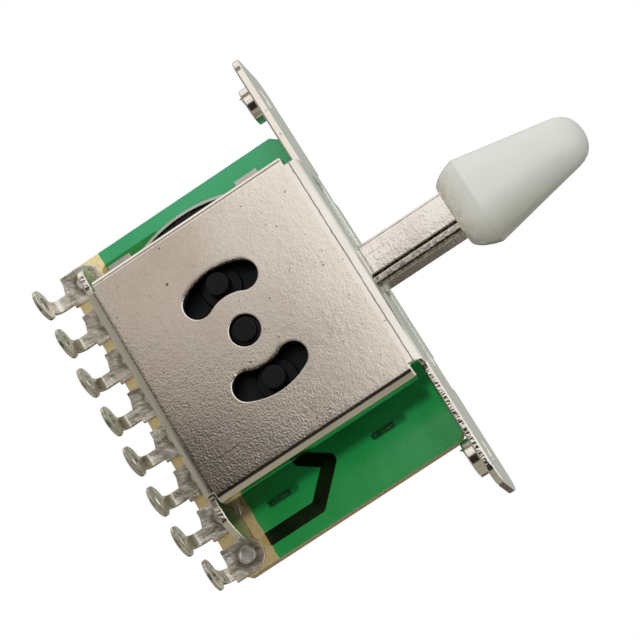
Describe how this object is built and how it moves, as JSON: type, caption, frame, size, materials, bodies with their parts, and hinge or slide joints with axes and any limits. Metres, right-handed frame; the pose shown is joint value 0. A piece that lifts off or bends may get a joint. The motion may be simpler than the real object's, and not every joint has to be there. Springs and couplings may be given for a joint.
{
  "type": "guitar pickup selector switch",
  "caption": "Lever selector switch with a slotted mounting plate, folded metal cover, printed board, row of soldering lugs and a pale tip; picks pickup combinations on an electric guitar.",
  "frame": {"origin": "midway between the two fixing holes, on the mounting plate's top face", "axes": "+X along the plate, +Z along the lever away from the plate, -Y towards the cover's front face"},
  "size_m": [0.0492, 0.0126, 0.0534],
  "materials": {
    "nickel_plate": "dull nickel plating",
    "green_board": "glossy solder mask on tan laminate",
    "copper": "copper under mask",
    "tinned_lug": "dull tin plating",
    "rivet_plate": "tin plating",
    "spring_steel": "spring strip",
    "black_plastic": "moulded",
    "lever_plate": "nickel plating",
    "pale_plastic": "satin",
    "bronze": "spring bronze"
  },
  "bodies": {
    "switch": {"frame": "nickel_plate", "circuit_board": "green_board", "copper_tracks": "copper", "lug_1": "tinned_lug", "lug_2": "tinned_lug", "lug_3": "tinned_lug", "lug_4": "tinned_lug", "lug_5": "tinned_lug", "lug_6": "tinned_lug", "lug_7": "tinned_lug", "lug_8": "tinned_lug", "rivet_1": "rivet_plate", "rivet_2": "rivet_plate", "rivet_3": "rivet_plate", "rivet_4": "rivet_plate", "rivet_5": "rivet_plate", "rivet_6": "rivet_plate", "rivet_7": "rivet_plate", "rivet_8": "rivet_plate", "detent_spring": "spring_steel"},
    "lever": {"rotor": "black_plastic", "lever": "lever_plate", "lever_tip": "pale_plastic", "wiper_left": "bronze", "wiper_right": "bronze"}
  },
  "joints": [
    {"name": "lever_pivot", "type": "hinge", "parent": "switch", "child": "lever", "pos_m": [0, 0, -0.0127], "axis": [0, 1, 0], "range_deg": [-24, 24], "deforming": ["detent_spring"]}
  ]
}
